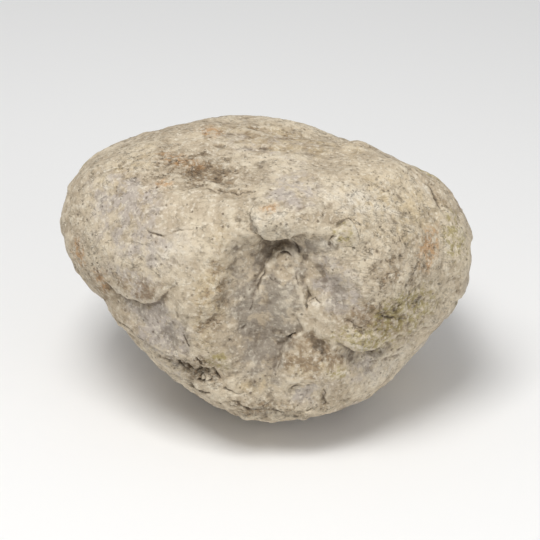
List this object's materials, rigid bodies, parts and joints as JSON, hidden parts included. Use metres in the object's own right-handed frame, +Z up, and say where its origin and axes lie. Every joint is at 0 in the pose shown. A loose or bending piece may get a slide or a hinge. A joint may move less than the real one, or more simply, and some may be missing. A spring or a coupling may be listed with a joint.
{
  "type": "aquascaping rock",
  "caption": "Water-worn river stone with a deep hollow under a lip, a valley, ledges and a small flat spot that it rests on, for setting out a planted aquarium.",
  "frame": {"origin": "on the resting spot, under the heart of the stone", "axes": "+X along the stone's width, to the right as one faces its front; the front with the hollow faces -Y; +Z up from the resting spot"},
  "size_m": [0.2001, 0.1617, 0.1383],
  "materials": {
    "stone": "weathered and water-worn, dull, smooth on the lobes and pitted in the hollows"
  },
  "bodies": {
    "root": {"rock": "stone"}
  },
  "joints": []
}
